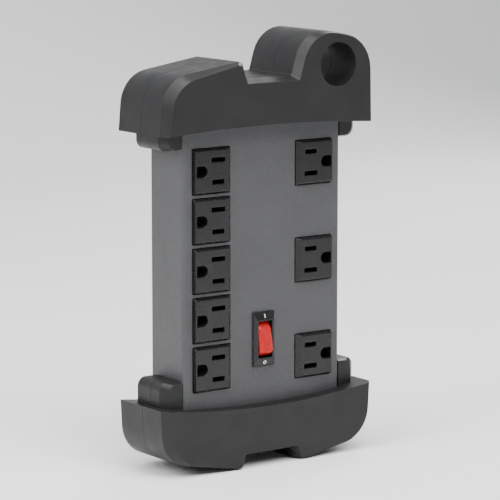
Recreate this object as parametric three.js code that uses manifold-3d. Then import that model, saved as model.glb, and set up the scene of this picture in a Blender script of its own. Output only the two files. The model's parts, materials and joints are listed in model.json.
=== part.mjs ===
// A workshop power strip: a sheet steel body between two moulded end caps, with eight grounded
// outlets in two columns, a rocker circuit breaker, a hanging ring and a coiled supply cord.
// Millimetres. X runs to the right, +Z up, and the outlets face -Y. The origin lies on the
// standing surface, below the middle of the strip.

import * as THREE from 'three';
import { mergeVertices } from 'three/addons/utils/BufferGeometryUtils.js';
import Module from 'manifold-3d';

const wasm = await Module();
wasm.setup();

// ---------------------------------------------------------------- driving dimensions

const GAP = 0.3; // clearance between pieces that rest against each other
const DEPTH = 48; // front of the caps to their back
const FRONT = -DEPTH / 2;
const BACK = DEPTH / 2;
const HALF_WIDTH = 75.2; // of the caps, at their rims
const WALL = 2.6; // moulded cap wall
const BEVEL_DEPTH = 5; // how far back the front edge slopes
const ARC_STEPS = 7; // straight steps in each rounded corner

const SHEET = 1.2; // body and back cover steel
const BODY_HALF = 56;
const BODY_FRONT = -14;
const BODY_BACK = 18;
const BODY_LOW = 28; // the body's ends are hidden inside the caps
const BODY_HIGH = 208;
const LIP = 9; // the body's return lips, which carry the back cover
const LIP_BACK = BODY_BACK - 1.8;
const COVER_BACK = LIP_BACK + GAP + SHEET;

const RING = { x: 47, z: 231.4, r: 12.9 }; // the hanging hole
const EAR = { in: BODY_HALF + 0.5, out: 69.6, depth: 13, bevel: 4, round: 5, low: 54.3, high: 187 };
const EAR_SCREW_X = 62.8;

const OUTLET = 26; // side of one outlet's block
const OUTLET_X = 36.4; // from the middle of the strip to the middle of a column
const OUTLET_FRONT = BODY_FRONT - 2.5;
const OUTLET_BACK = -6;
const ROW_MID = 117.2;
const ROW_PITCH = 28.6;
const LEFT_ROWS = [2, 1, 0, -1, -2];
const RIGHT_ROWS = [2, 0, -2];
const SLOT_X = 3.3; // blade slots, from the middle of the block towards the strip's middle
const SLOT_Z = 6.35; // each side of the outlet's own axis
const SLOT_HIGH = 2.6;
const NEUTRAL_SLOT = 9.4;
const LINE_SLOT = 8.3;
const GROUND_X = -7.45;
const GROUND_R = 3.25;

const SWITCH_Z = 73.25;
const PIVOT_Y = -11;
const ROCKER_R = 10.5;
const ROCKER_HALF = 4.65;
const PIN_R = 1;

const CORD_R = 4.5;
const EXIT = { x: 0, z: 22.5 };
const RELIEF_END = 46;
const COIL = { x: 50, y: 82.5, inner: 41, outer: 50, layers: 3 };
const WIRE_R = 1.7;

// ---------------------------------------------------------------- materials

const finish = (color, roughness, metalness) =>
  new THREE.MeshStandardMaterial({ color, roughness, metalness });
const PLASTIC = finish(0x18191b, 0.62, 0);
const STEEL = finish(0x3a3c3f, 0.5, 0.35);
const OUTLET_PLASTIC = finish(0x0f1011, 0.42, 0);
const CARRIER_PLASTIC = finish(0xd8d4c6, 0.6, 0);
const RED = finish(0xb3161b, 0.25, 0);
const BRASS = finish(0xb58b3a, 0.35, 1);
const ZINC = finish(0xa9abad, 0.4, 1);
const CORD = finish(0x141414, 0.7, 0);
const STRAP = finish(0x1d1d1f, 0.9, 0);
const WIRE_BLACK = finish(0x111111, 0.5, 0);
const WIRE_WHITE = finish(0xe6e6e2, 0.5, 0);
const WIRE_GREEN = finish(0x1f7a35, 0.5, 0);

// ---------------------------------------------------------------- solids

function toSolid(geometry) {
  const bare = geometry.index ? geometry.toNonIndexed() : geometry.clone();
  for (const name of Object.keys(bare.attributes)) {
    if (name !== 'position') bare.deleteAttribute(name);
  }
  const merged = mergeVertices(bare, 1e-3);
  const vertProperties = new Float32Array(merged.attributes.position.array);
  const triVerts = new Uint32Array(merged.index.array);
  return new wasm.Manifold(new wasm.Mesh({ numProp: 3, vertProperties, triVerts }));
}

const solids = (parts) => parts.flat(Infinity).map((p) => (p.isBufferGeometry ? toSolid(p) : p));
const join = (...parts) => solids(parts).reduce((all, part) => all.add(part));
const cut = (base, ...tools) => solids([base, tools]).reduce((left, tool) => left.subtract(tool));

function toGeometry(solid) {
  const { vertProperties, triVerts } = solid.getMesh();
  const geometry = new THREE.BufferGeometry();
  geometry.setAttribute('position', new THREE.BufferAttribute(new Float32Array(vertProperties), 3));
  geometry.setIndex(new THREE.BufferAttribute(new Uint32Array(triVerts), 1));
  geometry.computeVertexNormals();
  return geometry;
}

const group = new THREE.Group();
group.name = 'power_strip';

function piece(name, shape, material) {
  const mesh = new THREE.Mesh(shape.isBufferGeometry ? shape : toGeometry(shape), material);
  mesh.name = name;
  group.add(mesh);
  return mesh;
}

// ---------------------------------------------------------------- basic shapes

function block([x0, x1], [y0, y1], [z0, z1]) {
  const box = new THREE.BoxGeometry(x1 - x0, y1 - y0, z1 - z0);
  return box.translate((x0 + x1) / 2, (y0 + y1) / 2, (z0 + z1) / 2);
}

function rodAlongY(x, z, radius, y0, y1, sides = 20) {
  const rod = new THREE.CylinderGeometry(radius, radius, y1 - y0, sides);
  return rod.translate(x, (y0 + y1) / 2, z);
}

// A shape in X and Z, pushed from y0 back to y1.
function slab(shape, y0, y1) {
  const solid = new THREE.ExtrudeGeometry(shape, { depth: y1 - y0, bevelEnabled: false });
  return solid.rotateX(Math.PI / 2).translate(0, y1, 0);
}

// A closed solid through outlines with equal numbers of points, from the front one to the back.
function loft(sections) {
  const count = sections[0].outline.length;
  const positions = sections.flatMap(({ y, outline }) => outline.flatMap((p) => [p.x, y, p.y]));
  const index = [];
  for (const [a, b, c] of THREE.ShapeUtils.triangulateShape(sections[0].outline, [])) {
    index.push(a, b, c);
  }
  const last = (sections.length - 1) * count;
  for (const [a, b, c] of THREE.ShapeUtils.triangulateShape(sections.at(-1).outline, [])) {
    index.push(last + a, last + c, last + b);
  }
  for (let s = 0; s + 1 < sections.length; s++) {
    for (let i = 0; i < count; i++) {
      const [a, b] = [s * count + i, s * count + ((i + 1) % count)];
      index.push(a, a + count, b, b, a + count, b + count);
    }
  }
  const geometry = new THREE.BufferGeometry();
  geometry.setAttribute('position', new THREE.Float32BufferAttribute(positions, 3));
  geometry.setIndex(index);
  return geometry;
}

// The outline through corners [x, z, radius], anticlockwise as seen from the front.
function rounded(corners, steps = ARC_STEPS) {
  const points = [];
  corners.forEach(([x, z, radius = 0], i) => {
    const here = new THREE.Vector2(x, z);
    if (!radius) {
      points.push(here);
      return;
    }
    const [px, pz] = corners[(i + corners.length - 1) % corners.length];
    const [nx, nz] = corners[(i + 1) % corners.length];
    const back = new THREE.Vector2(px, pz).sub(here).normalize();
    const on = new THREE.Vector2(nx, nz).sub(here).normalize();
    const half = Math.acos(back.dot(on)) / 2;
    const centre = back.clone().add(on).normalize().multiplyScalar(radius / Math.sin(half)).add(here);
    const from = here.clone().addScaledVector(back, radius / Math.tan(half)).sub(centre);
    const turn = Math.sign(back.cross(on)) * -(Math.PI - 2 * half);
    for (let k = 0; k <= steps; k++) {
      points.push(from.clone().rotateAround(new THREE.Vector2(), (turn * k) / steps).add(centre));
    }
  });
  return points;
}

// The same outline, moved inwards by a distance, with as many points.
function inset(outline, distance) {
  return outline.map((p, i) => {
    const before = outline[(i + outline.length - 1) % outline.length];
    const after = outline[(i + 1) % outline.length];
    const a = p.clone().sub(before).normalize();
    const b = after.clone().sub(p).normalize();
    const normal = new THREE.Vector2(-a.y - b.y, a.x + b.x).normalize();
    return p.clone().addScaledVector(normal, distance / (normal.x * -a.y + normal.y * a.x));
  });
}

// ---------------------------------------------------------------- end caps

// Both rims are arched: `end` is the height at the two sides and `middle` that at the centre.
function rimArch(half, end, middle, direction) {
  const steps = 8;
  return Array.from({ length: steps + 1 }, (_, i) => {
    const x = direction * half * ((2 * i) / steps - 1);
    return [x, middle + (end - middle) * (x / half) ** 2];
  });
}

function topOutline(side, shoulder, peak, notch, ringLeft, ringRight) {
  return rounded([
    ...rimArch(side, 196.6, 199.3, 1),
    [...ringRight, 21],
    [...ringLeft, 20],
    [notch.right, notch.z, 1.2],
    [notch.left, notch.z, 1.2],
    [...peak, 3.2],
    [...shoulder, 20],
  ]);
}

function bottomOutline(side, shoulder, peak, notch, lift) {
  const points = rounded([
    ...rimArch(side, 40.2, 35.2, -1),
    [-shoulder[0], shoulder[1], 20],
    [-peak[0], peak[1], 3.2],
    [-notch.x, notch.z, 1.2],
    [notch.x, notch.z, 1.2],
    [peak[0], peak[1], 3.2],
    [shoulder[0], shoulder[1], 20],
  ]);
  const lowest = Math.min(...points.map((p) => p.y));
  return points.map((p) => new THREE.Vector2(p.x, p.y - (p.y < notch.z ? lowest - lift : 0)));
}

const TOP = {
  outer: topOutline(HALF_WIDTH, [-72.6, 228.2], [-18.55, 236.5], { left: -15.6, right: 16.6, z: 226.3 },
    [24.5, 253.8], [72.6, 245.8]),
  front: topOutline(HALF_WIDTH - 3.8, [-67.9, 224.9], [-21.9, 234.9],
    { left: -18.4, right: 19, z: 223.6 }, [28.1, 252.6], [70.4, 245.2]),
};
const BOTTOM = {
  outer: bottomOutline(HALF_WIDTH, [73.6, 8.6], [19.3, -0.4], { x: 17, z: 6.9 }, 0),
  front: bottomOutline(HALF_WIDTH - 3.8, [69.6, 9.4], [21.6, 0.6], { x: 19.2, z: 9.1 }, 0.8),
};

const capOutside = ({ outer, front }) =>
  loft([
    { y: FRONT, outline: front },
    { y: FRONT + BEVEL_DEPTH, outline: outer },
    { y: BACK - 1.5, outline: outer },
    { y: BACK, outline: inset(outer, 1.2) },
  ]);

const capInside = ({ outer, front }) =>
  loft([
    { y: FRONT + WALL, outline: inset(front, WALL) },
    { y: FRONT + WALL + BEVEL_DEPTH, outline: inset(outer, WALL) },
    { y: BACK - WALL, outline: inset(outer, WALL) },
  ]);

const mirrored = (outline) => outline.map((p) => new THREE.Vector2(-p.x, p.y)).reverse();

// One ear stands out of the rim beside the body, where the two halves of a cap are screwed together.
function ear(side, z0, z1, roundTop) {
  const outline = (reach, trim) => {
    const far = EAR.out - reach;
    const corners = roundTop
      ? [[EAR.in, z0], [far, z0], [far, z1 - trim, EAR.round], [EAR.in, z1 - trim]]
      : [[EAR.in, z0 + trim], [far, z0 + trim, EAR.round], [far, z1], [EAR.in, z1]];
    return side > 0 ? rounded(corners, 4) : mirrored(rounded(corners, 4));
  };
  return loft([
    { y: -EAR.depth, outline: outline(EAR.bevel, 1.2) },
    { y: -EAR.depth + EAR.bevel, outline: outline(0, 0) },
    { y: EAR.depth, outline: outline(0, 0) },
  ]);
}

const SIDES = [-1, 1];
const SCREW = { head: 3.3, headHigh: 2.2, shank: 1.5, tip: -9.5 };
const BOSS_R = 4.4;
const BOSS_SEAT = 14; // the screw heads of the bosses sit this far back
const EAR_SEAT = 8;

const TOP_SCREWS = [
  ...SIDES.map((side) => ({ x: side * EAR_SCREW_X, z: 192.6, seat: EAR_SEAT })),
  { x: -50, z: 217, seat: BOSS_SEAT },
  { x: 10, z: 217, seat: BOSS_SEAT },
];
const BOTTOM_SCREWS = [
  ...SIDES.map((side) => ({ x: side * EAR_SCREW_X, z: 47.2, seat: EAR_SEAT })),
  ...SIDES.map((side) => ({ x: side * 50, z: 18.5, seat: BOSS_SEAT })),
];

const passage = block(
  [-BODY_HALF - GAP, BODY_HALF + GAP], [BODY_FRONT - GAP, BODY_BACK + GAP], [BODY_LOW, BODY_HIGH]);

// A whole cap, still in one piece: outside less inside, with its screw bosses and ears.
function wholeCap(outlines, screws, ears, extras, holes) {
  const bosses = screws
    .filter(({ seat }) => seat === BOSS_SEAT)
    .map(({ x, z }) => rodAlongY(x, z, BOSS_R, FRONT + 1, BACK - 1));
  const hollow = cut(capInside(outlines), bosses, extras);
  const bores = screws.flatMap(({ x, z, seat }) => [
    rodAlongY(x, z, SCREW.shank + 0.15, SCREW.tip - 1, 0, 16),
    rodAlongY(x, z, SCREW.shank + 0.5, -0.1, seat + 0.1, 16),
    rodAlongY(x, z, SCREW.head + 0.5, seat, BACK + 1, 20),
  ]);
  return cut(join(cut(capOutside(outlines), hollow), ears), passage, bores, holes);
}

// Each half of a cap is the whole one less everything on the other side of the seam.
const frontHalf = block([-100, 100], [-60, GAP / 2], [-10, 270]);
const backHalf = block([-100, 100], [-GAP / 2, 60], [-10, 270]);

// The ring is a bore through both halves. A web and a flat lintel narrow it in the back half.
const ringWall = rodAlongY(RING.x, RING.z, RING.r + WALL, FRONT + 1, BACK - 1, 40);
const web = rodAlongY(39.7, 218, 10.5, 2, BACK - 2, 28);
const lintel = block([30, 64], [2, BACK - 2], [RING.z + 9.6, RING.z + 16]);
const ringBore = cut(rodAlongY(RING.x, RING.z, RING.r, FRONT - 1, BACK + 1, 40), web, lintel);

const topCap = wholeCap(TOP, TOP_SCREWS, SIDES.map((side) => ear(side, EAR.high, 200, false)),
  [ringWall], [ringBore]);
piece('top_cap_front', cut(topCap, backHalf), PLASTIC);
piece('top_cap_rear', cut(topCap, frontHalf), PLASTIC);

// The cord leaves through the back of the bottom cap.
const RELIEF = { neck: 6.6, flange: 9.4, collar: 8.2, root: 7.3, tip: 5.4 };
const cordHole = rodAlongY(EXIT.x, EXIT.z, RELIEF.neck + GAP, BACK - WALL - 1, BACK + 1, 28);
const bottomCap = wholeCap(BOTTOM, BOTTOM_SCREWS, SIDES.map((side) => ear(side, 37, EAR.low, true)),
  [], [cordHole]);
piece('bottom_cap_front', cut(bottomCap, backHalf), PLASTIC);
piece('bottom_cap_rear', cut(bottomCap, frontHalf), PLASTIC);

// A round-headed screw driven forwards, its head resting just behind `seat`.
function screw(name, x, z, seat, tip, { head, headHigh, shank } = SCREW) {
  const under = seat + GAP;
  const profile = [[0, tip], [shank * 0.5, tip + 0.3], [shank, tip + 1.6], [shank, under],
    [head, under], [head, under + headHigh * 0.5], [head * 0.6, under + headHigh], [0, under + headHigh]];
  const turned = new THREE.LatheGeometry(profile.map(([r, y]) => new THREE.Vector2(r, y)), 10);
  piece(name, toSolid(turned), ZINC).position.set(x, 0, z);
}

[...TOP_SCREWS, ...BOTTOM_SCREWS].forEach(({ x, z, seat }, i) =>
  screw(`cap_screw_${i + 1}`, x, z, seat, SCREW.tip));

// ---------------------------------------------------------------- steel body and back cover

// The cross-section is a C: front, two sides and two return lips that carry the back cover.
function bodySection() {
  const inner = BODY_HALF - SHEET;
  const lipEdge = BODY_HALF - LIP;
  const half = [[BODY_HALF, BODY_FRONT], [BODY_HALF, BODY_BACK], [inner, BODY_BACK], [inner, LIP_BACK],
    [lipEdge, LIP_BACK], [lipEdge, LIP_BACK - SHEET], [inner, LIP_BACK - SHEET],
    [inner, BODY_FRONT + SHEET]];
  const other = half.map(([x, y]) => [-x, y]).reverse();
  return new THREE.Shape([...half, ...other].map(([x, y]) => new THREE.Vector2(x, y)));
}

const opening = (x, z, wide, high) =>
  block([x - wide / 2, x + wide / 2], [BODY_FRONT - 1, BODY_FRONT + SHEET + 1], [z - high / 2, z + high / 2]);
const columns = [
  { side: 'left', sign: -1, rows: LEFT_ROWS },
  { side: 'right', sign: 1, rows: RIGHT_ROWS },
];
const COVER_SCREWS = [68, 166].flatMap((z) => SIDES.map((side) => ({ x: side * 51, z })));
const GROUND_STUD = { x: 14, z: 45, r: 2, end: -6 };
const BEZEL = { half: 7.55, high: 16.15, opening: 4.9, openingHigh: 10.75, front: -16.8 };
const HOUSING = { half: 6.7, high: 15.2 };

const bodyLength = { depth: BODY_HIGH - BODY_LOW, bevelEnabled: false };
const bodyTube = new THREE.ExtrudeGeometry(bodySection(), bodyLength).translate(0, 0, BODY_LOW);
const outletWindows = columns.flatMap(({ sign, rows }) => rows.map((row) =>
  opening(sign * OUTLET_X, ROW_MID + row * ROW_PITCH, OUTLET + 2 * GAP, OUTLET + 2 * GAP)));
const switchWindow = opening(0, SWITCH_Z, 2 * (HOUSING.half + GAP), 2 * (HOUSING.high + GAP));
const coverScrewHoles = COVER_SCREWS.map(({ x, z }) => rodAlongY(x, z, 1.7, LIP_BACK - 3, BACK, 14));
const stud = rodAlongY(GROUND_STUD.x, GROUND_STUD.z, GROUND_STUD.r, BODY_FRONT + 0.5, GROUND_STUD.end, 16);
piece('body_shell', join(cut(bodyTube, outletWindows, switchWindow, coverScrewHoles), stud), STEEL);

const coverPlate = block([-BODY_HALF + SHEET + GAP, BODY_HALF - SHEET - GAP],
  [LIP_BACK + GAP, COVER_BACK], [BODY_LOW + GAP, BODY_HIGH - GAP]);
piece('back_cover', cut(coverPlate, coverScrewHoles), STEEL);
COVER_SCREWS.forEach(({ x, z }, i) =>
  screw(`cover_screw_${i + 1}`, x, z, COVER_BACK, 11.5, { head: 3, headHigh: 1.6, shank: 1.4 }));

// ---------------------------------------------------------------- outlets and contacts

// Everything of the outlets is drawn for the left column and turned half round for the right one.
const turned = (sign) => (sign > 0 ? Math.PI : 0);

function outletFace() {
  const half = OUTLET / 2;
  const side = (left, right, trim) => [[-half + left, -half + trim], [half - right, -half + trim],
    [half - right, half - trim], [-half + left, half - trim]].map(([x, z]) => new THREE.Vector2(x, z));
  const body = loft([
    { y: OUTLET_FRONT, outline: side(0.6, 3, 1.1) },
    { y: BODY_FRONT - 0.3, outline: side(0, 0, 0) },
    { y: OUTLET_BACK, outline: side(0, 0, 0) },
  ]);
  const flangeFront = BODY_FRONT + SHEET + GAP;
  const flange = block([-half - 1.4, half + 1.4], [flangeFront, flangeFront + 1.5], [-half - 1, half + 1]);
  const slot = (wide, z) => block([SLOT_X - wide / 2, SLOT_X + wide / 2],
    [OUTLET_FRONT - 1, OUTLET_BACK + 1], [z - SLOT_HIGH / 2, z + SLOT_HIGH / 2]);
  const ground = new THREE.Shape();
  ground.moveTo(GROUND_X - 4.2, -GROUND_R).lineTo(GROUND_X, -GROUND_R);
  ground.absarc(GROUND_X, 0, GROUND_R, -Math.PI / 2, Math.PI / 2, false);
  ground.lineTo(GROUND_X - 4.2, GROUND_R);
  const groundHole = slab(new THREE.Shape(ground.getPoints(10)), OUTLET_FRONT - 1, OUTLET_BACK + 1);
  return cut(join(body, flange), slot(NEUTRAL_SLOT, SLOT_Z), slot(LINE_SLOT, -SLOT_Z), groundHole);
}

const TRAY = { in: 13.2, out: 13.8, front: OUTLET_BACK + GAP, back: 8, over: 14.6 };
const SPINE = { line: 9.6, neutral: -2.4, ground: -7.9, front: 2.4, back: 4.6, over: 17.6 };
const METAL = 0.8;

// The carrier is a trough with one groove for the blade contacts and one for the ground contacts.
function carrier(rows) {
  const low = ROW_PITCH * Math.min(...rows) - TRAY.over;
  const high = ROW_PITCH * Math.max(...rows) + TRAY.over;
  const groove = (x0, x1) => block([x0, x1], [TRAY.front - 1, 6], [low - 1, high + 1]);
  return cut(block([-TRAY.out, TRAY.in], [TRAY.front, TRAY.back], [low, high]),
    groove(-4.2, 11.4), groove(-12.4, -5.4));
}

// A bus bar is a spine along the column with a two-leaved contact behind each slot.
function busBar(rows, spineX, contactX, contactZ, gap, reach) {
  const low = ROW_PITCH * Math.min(...rows) - SPINE.over;
  const high = ROW_PITCH * Math.max(...rows) + SPINE.over;
  const spine = block([spineX - METAL / 2, spineX + METAL / 2], [SPINE.front, SPINE.back], [low, high]);
  const contacts = rows.map((row) => {
    const z = row * ROW_PITCH + contactZ;
    const from = Math.min(contactX - reach, spineX);
    const to = Math.max(contactX + reach, spineX);
    const leaf = (side) => block([contactX - reach, contactX + reach], [TRAY.front + 0.4, SPINE.front + 0.5],
      [z + side * gap - METAL / 2, z + side * gap + METAL / 2]);
    const foot = block([from, to], [SPINE.front, SPINE.front + METAL],
      [z - gap - METAL / 2, z + gap + METAL / 2]);
    return [foot, leaf(-1), leaf(1)];
  });
  return join(spine, contacts);
}

const BUSES = {
  line: (rows) => busBar(rows, SPINE.line, SLOT_X, -SLOT_Z, 1.35, 3.4),
  neutral: (rows) => busBar(rows, SPINE.neutral, SLOT_X, SLOT_Z, 1.35, 3.4),
  ground: (rows) => busBar(rows, SPINE.ground, GROUND_X - 1, 0, 2.9, 1.9),
};

for (const { side, sign, rows } of columns) {
  const place = (mesh, z) => {
    mesh.position.set(sign * OUTLET_X, 0, z);
    mesh.rotation.y = turned(sign);
  };
  rows.forEach((row, i) =>
    place(piece(`outlet_${side}_${i + 1}`, outletFace(), OUTLET_PLASTIC), ROW_MID + row * ROW_PITCH));
  place(piece(`contact_carrier_${side}`, carrier(rows), CARRIER_PLASTIC), ROW_MID);
  for (const [name, bus] of Object.entries(BUSES)) {
    place(piece(`${name}_bus_${side}`, bus(rows), BRASS), ROW_MID);
  }
}

// ---------------------------------------------------------------- circuit breaker

const rect = (x, z) => [[-x, -z], [x, -z], [x, z], [-x, z]].map(([px, pz]) =>
  new THREE.Vector2(px, SWITCH_Z + pz));
const bezelBack = BODY_FRONT - GAP;
const bezelBody = loft([
  { y: BEZEL.front, outline: rect(BEZEL.opening + 0.9, BEZEL.openingHigh + 0.9) },
  { y: bezelBack - 0.7, outline: rect(BEZEL.half, BEZEL.high) },
  { y: bezelBack, outline: rect(BEZEL.half, BEZEL.high) },
]);
piece('breaker_bezel', cut(bezelBody, block([-BEZEL.opening, BEZEL.opening], [-20, 0],
  [SWITCH_Z - BEZEL.openingHigh, SWITCH_Z + BEZEL.openingHigh])), OUTLET_PLASTIC);

const TERMINAL = { half: 3.15, high: 0.4, offset: 8, front: 6.6, back: 14.5 };
const housingBox = block([-HOUSING.half, HOUSING.half], [BODY_FRONT, 9],
  [SWITCH_Z - HOUSING.high, SWITCH_Z + HOUSING.high]);
const pocket = block([-BEZEL.opening, BEZEL.opening], [BODY_FRONT - 1, 4.6],
  [SWITCH_Z - BEZEL.openingHigh, SWITCH_Z + BEZEL.openingHigh]);
const rodAlongX = (radius, half, sides) =>
  new THREE.CylinderGeometry(radius, radius, 2 * half, sides).rotateZ(Math.PI / 2)
    .translate(0, PIVOT_Y, SWITCH_Z);
const terminalSlots = SIDES.map((side) => {
  const middle = SWITCH_Z + side * TERMINAL.offset;
  return block([-TERMINAL.half - GAP, TERMINAL.half + GAP], [TERMINAL.front - GAP, 10],
    [middle - TERMINAL.high - GAP, middle + TERMINAL.high + GAP]);
});
piece('breaker_housing', cut(housingBox, pocket, rodAlongX(PIN_R + 0.1, 10, 24), terminalSlots),
  OUTLET_PLASTIC);
piece('rocker_pin', rodAlongX(PIN_R, HOUSING.half - 0.2, 24), ZINC);
for (const [name, side] of [['line', -1], ['load', 1]]) {
  const z = SWITCH_Z + side * TERMINAL.offset;
  piece(`breaker_${name}_terminal`, block([-TERMINAL.half, TERMINAL.half],
    [TERMINAL.front, TERMINAL.back], [z - TERMINAL.high, z + TERMINAL.high]), BRASS);
}
piece('breaker_bimetal', join(block([-2.5, 2.5], [1, 1.5], [SWITCH_Z - 8, SWITCH_Z + 8]),
  block([-2.5, 2.5], [1, 4.3], [SWITCH_Z - 8, SWITCH_Z - 7.5])), BRASS);

// The rocker is drawn in Y and Z about its pin: two end arcs, a short upper face and a long lower one.
function rocker() {
  const onArc = (degrees) => {
    const angle = THREE.MathUtils.degToRad(degrees);
    return [-ROCKER_R * Math.sin(angle), ROCKER_R * Math.cos(angle)];
  };
  const arc = (from, to, steps) =>
    Array.from({ length: steps + 1 }, (_, i) => onArc(from + ((to - from) * i) / steps));
  const side = [...arc(-6, 13, 4), [-5.6, 6.4], ...arc(134, 184, 8), [2.6, -3], [2.6, 3]];
  const shape = new THREE.Shape(side.map(([y, z]) => new THREE.Vector2(y, z)));
  const solid = new THREE.ExtrudeGeometry(shape, { depth: 2 * ROCKER_HALF, bevelEnabled: false });
  // The drawing plane's axes become Y and Z, and the depth runs along X.
  const swap = new THREE.Matrix4().set(
    0, 0, 1, -ROCKER_HALF,
    1, 0, 0, PIVOT_Y,
    0, 1, 0, SWITCH_Z,
    0, 0, 0, 1);
  return cut(solid.applyMatrix4(swap), rodAlongX(PIN_R + 0.1, 10, 24));
}
piece('breaker_rocker', rocker(), RED);

// ---------------------------------------------------------------- wiring inside

// A round lead through points, as a closed tube with the given number of steps.
function lead(points, radius, steps, sides) {
  const section = new THREE.Shape(Array.from({ length: sides }, (_, i) => {
    const angle = (2 * Math.PI * i) / sides;
    return new THREE.Vector2(radius * Math.cos(angle), radius * Math.sin(angle));
  }));
  const route = new THREE.CatmullRomCurve3(points.map((p) => new THREE.Vector3(...p)), false, 'centripetal');
  return new THREE.ExtrudeGeometry(section, { steps, extrudePath: route, bevelEnabled: false });
}

const spineEnd = (name, sign, up) => {
  const rows = sign < 0 ? LEFT_ROWS : RIGHT_ROWS;
  const z = ROW_MID + up * (ROW_PITCH * Math.max(...rows) + SPINE.over + GAP + 0.1);
  return [sign * (OUTLET_X - SPINE[name]), (SPINE.front + SPINE.back) / 2, z];
};

// A wire that leaves a bus bar's end, rises to a height, crosses over and comes down to the other one.
function crossWire(name, height) {
  const [x, y, z] = spineEnd(name, 1, 1);
  return [[-x, y, z], [-x, y, height - 6], [-x + 6, y, height], [0, y, height], [x - 6, y, height],
    [x, y, height - 6], [x, y, z]];
}

const terminalY = 12;
const loadZ = SWITCH_Z + TERMINAL.offset + TERMINAL.high + GAP;
const lineZ = SWITCH_Z - TERMINAL.offset - TERMINAL.high - GAP;
const [lineX, busY, busZ] = spineEnd('line', -1, -1);
const [neutralX] = spineEnd('neutral', -1, -1);
const [groundX] = spineEnd('ground', -1, -1);
const glandY = 16.6;
const ringY = BODY_FRONT + SHEET + GAP;
const WIRES = [
  ['supply_line_wire', WIRE_BLACK, 12, [[0, glandY, 24.6], [0, 14.5, 27], [0, 12.6, 36],
    [0, terminalY, 50], [0, terminalY, lineZ]]],
  ['supply_neutral_wire', WIRE_WHITE, 16, [[-4, glandY, 21.5], [-7, 14, 22.5], [-18, 11, 25],
    [-32, 7, 27], [neutralX, busY, 34], [neutralX, busY, busZ]]],
  ['supply_ground_wire', WIRE_GREEN, 14, [[4, glandY, 21.5], [7, 14, 21.5], [12, 6, 24], [15, -4, 28],
    [GROUND_STUD.x, ringY + 2.4, 34], [GROUND_STUD.x, ringY + 2, 37]]],
  ['breaker_load_wire', WIRE_BLACK, 22, [[0, terminalY, loadZ], [-1, terminalY, 90], [-7, terminalY, 95],
    [-13.5, terminalY, 88], [-15, 11, 70], [-15, 10, 50], [-18, 6, 39], [-24, busY, 36],
    [lineX, busY, 39.5], [lineX, busY, busZ]]],
  ['ground_bus_wire', WIRE_GREEN, 18, [[8.6, ringY + 2, 43], [2, ringY + 2.2, 37], [-12, ringY + 2.6, 33],
    [-32, -8, 31.5], [-42, -3, 32], [groundX, busY, 37.5], [groundX, busY, busZ]]],
  ['cross_line_wire', WIRE_BLACK, 18, crossWire('line', 197)],
  ['cross_neutral_wire', WIRE_WHITE, 20, crossWire('neutral', 201.5)],
  ['cross_ground_wire', WIRE_GREEN, 20, crossWire('ground', 206)],
];
for (const [name, material, steps, points] of WIRES) {
  piece(name, toSolid(lead(points, WIRE_R, steps, 6)), material);
}

const washer = (radius, y0, y1, sides) => cut(rodAlongY(GROUND_STUD.x, GROUND_STUD.z, radius, y0, y1, sides),
  rodAlongY(GROUND_STUD.x, GROUND_STUD.z, GROUND_STUD.r + GAP, y0 - 1, y1 + 1, 16));
piece('ground_ring', washer(4.6, ringY, ringY + METAL, 20), BRASS);
piece('ground_nut', washer(4, ringY + METAL + GAP, ringY + METAL + GAP + 3, 6), ZINC);

// ---------------------------------------------------------------- supply cord

// The strain relief is gripped by the cap's wall, and tapers onto the cord.
const reliefProfile = [[0, BACK - WALL - 3.2], [RELIEF.flange, BACK - WALL - 3.2],
  [RELIEF.flange, BACK - WALL - GAP], [RELIEF.neck, BACK - WALL - GAP], [RELIEF.neck, BACK + GAP],
  [RELIEF.collar, BACK + GAP], [RELIEF.collar, BACK + 3], [RELIEF.root, BACK + 3.6],
  [RELIEF.tip, RELIEF_END], [0, RELIEF_END]];
const relief = new THREE.LatheGeometry(reliefProfile.map(([r, y]) => new THREE.Vector2(r, y)), 20);
piece('strain_relief', toSolid(relief), CORD).position.set(EXIT.x, 0, EXIT.z);

// The coil's outer shape is a ring. A strap goes round its bundle on the side facing the strip.
const COIL_TOP = COIL.layers * 2 * CORD_R;
const STRAP_THICK = 1;
const STRAP_HALF = 7;
const STRAP_SLACK = 3.6; // room inside the strap for the tail, which lies a little inside the coil
const TAIL_Z = COIL_TOP + CORD_R + GAP;
const ringProfile = (grow) => {
  const [a, b] = [COIL.inner - CORD_R - grow, COIL.outer + CORD_R + grow];
  const [low, high, edge] = [-grow, COIL_TOP + grow, 3];
  return [[a, low + edge], [a + edge, low], [b - edge, low], [b, low + edge], [b, high - edge],
    [b - edge, high], [a + edge, high], [a, high - edge], [a, low + edge]]
    .map(([r, z]) => new THREE.Vector2(r, z));
};
const coilRing = (grow) => new THREE.LatheGeometry(ringProfile(grow), 40).rotateX(Math.PI / 2)
  .translate(COIL.x, COIL.y, 0);
const strapAcross = (grow, z0, z1) => block([COIL.x - STRAP_HALF - grow, COIL.x + STRAP_HALF + grow],
  [COIL.y - COIL.outer - CORD_R - GAP - grow, COIL.y - COIL.inner + CORD_R + STRAP_SLACK + grow], [z0, z1]);
const strapLoop = cut(strapAcross(STRAP_THICK, 0, TAIL_Z + CORD_R + GAP + STRAP_THICK),
  block([0, 100], [COIL.y - COIL.outer - CORD_R - GAP, COIL.y - COIL.inner + CORD_R + STRAP_SLACK],
    [STRAP_THICK, TAIL_Z + CORD_R + GAP]));
piece('cord_tie', strapLoop, STRAP);
piece('cord_coil', cut(coilRing(0), strapAcross(4, -5, STRAP_THICK + GAP)), CORD);

// The lead runs straight from the strain relief and meets the coil's top layer side on.
const leadTube = lead([RELIEF_END + GAP, 60, COIL.y - 6].map((y) => [EXIT.x, y, EXIT.z]),
  CORD_R, 3, 12);
piece('cord_lead', cut(leadTube, coilRing(GAP)), CORD);

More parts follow.
